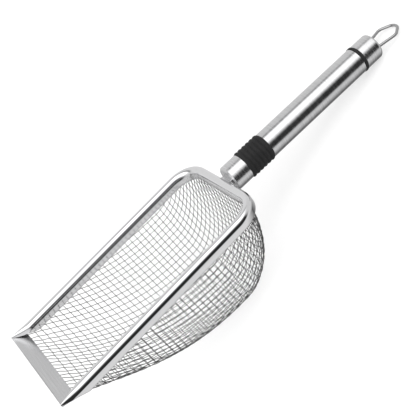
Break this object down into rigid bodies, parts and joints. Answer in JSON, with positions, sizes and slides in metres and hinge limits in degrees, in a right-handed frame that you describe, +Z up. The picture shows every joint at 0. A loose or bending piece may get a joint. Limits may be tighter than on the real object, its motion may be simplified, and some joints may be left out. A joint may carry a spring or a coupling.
{
  "type": "beach sand scoop",
  "caption": "Hand scoop with a pressed wire-mesh basket in a rolled steel rim, a plain front lip, and a straight tubular handle with a rubber grip and a hanging loop.",
  "frame": {"origin": "on the table, under the middle of the scoop's length and width, with the scoop lying on the belly of its basket and on the lower edge of its end cap", "axes": "+X from the lip towards the handle, +Z up, +Y across the scoop; the rim's plane drops towards the handle by 15.2 degrees and the handle's axis by 18.2 degrees"},
  "size_m": [0.3328, 0.096, 0.1072],
  "materials": {
    "polished_steel": "polished stainless steel",
    "brushed_steel": "fine circumferential brushing",
    "lip_steel": "satin sheet",
    "wire_cloth": "drawn wire, plain square weave",
    "steel_wire": "plain drawn steel",
    "weld_steel": "ground weld",
    "black_rubber": "matt",
    "black_plastic": "moulded"
  },
  "bodies": {
    "scoop": {"rim_channel": "polished_steel", "rim_core_wire": "steel_wire", "mesh_basket": "wire_cloth", "lip_plate": "lip_steel", "neck_tang": "brushed_steel", "neck_weld": "weld_steel", "collar": "brushed_steel", "grip_core": "steel_wire", "grip_sleeve": "black_rubber", "front_bush": "black_plastic", "handle_tube": "brushed_steel", "rear_bush": "black_plastic", "gasket_ring": "black_rubber", "end_cap": "brushed_steel", "loop_block": "black_plastic"},
    "loop": {"hanging_loop": "polished_steel"}
  },
  "joints": [
    {"name": "loop_swing", "type": "hinge", "parent": "scoop", "child": "loop", "pos_m": [0.13954, 0, 0.01035], "axis": [0, 1, 0], "range_deg": [-20.89, 18.91]}
  ]
}
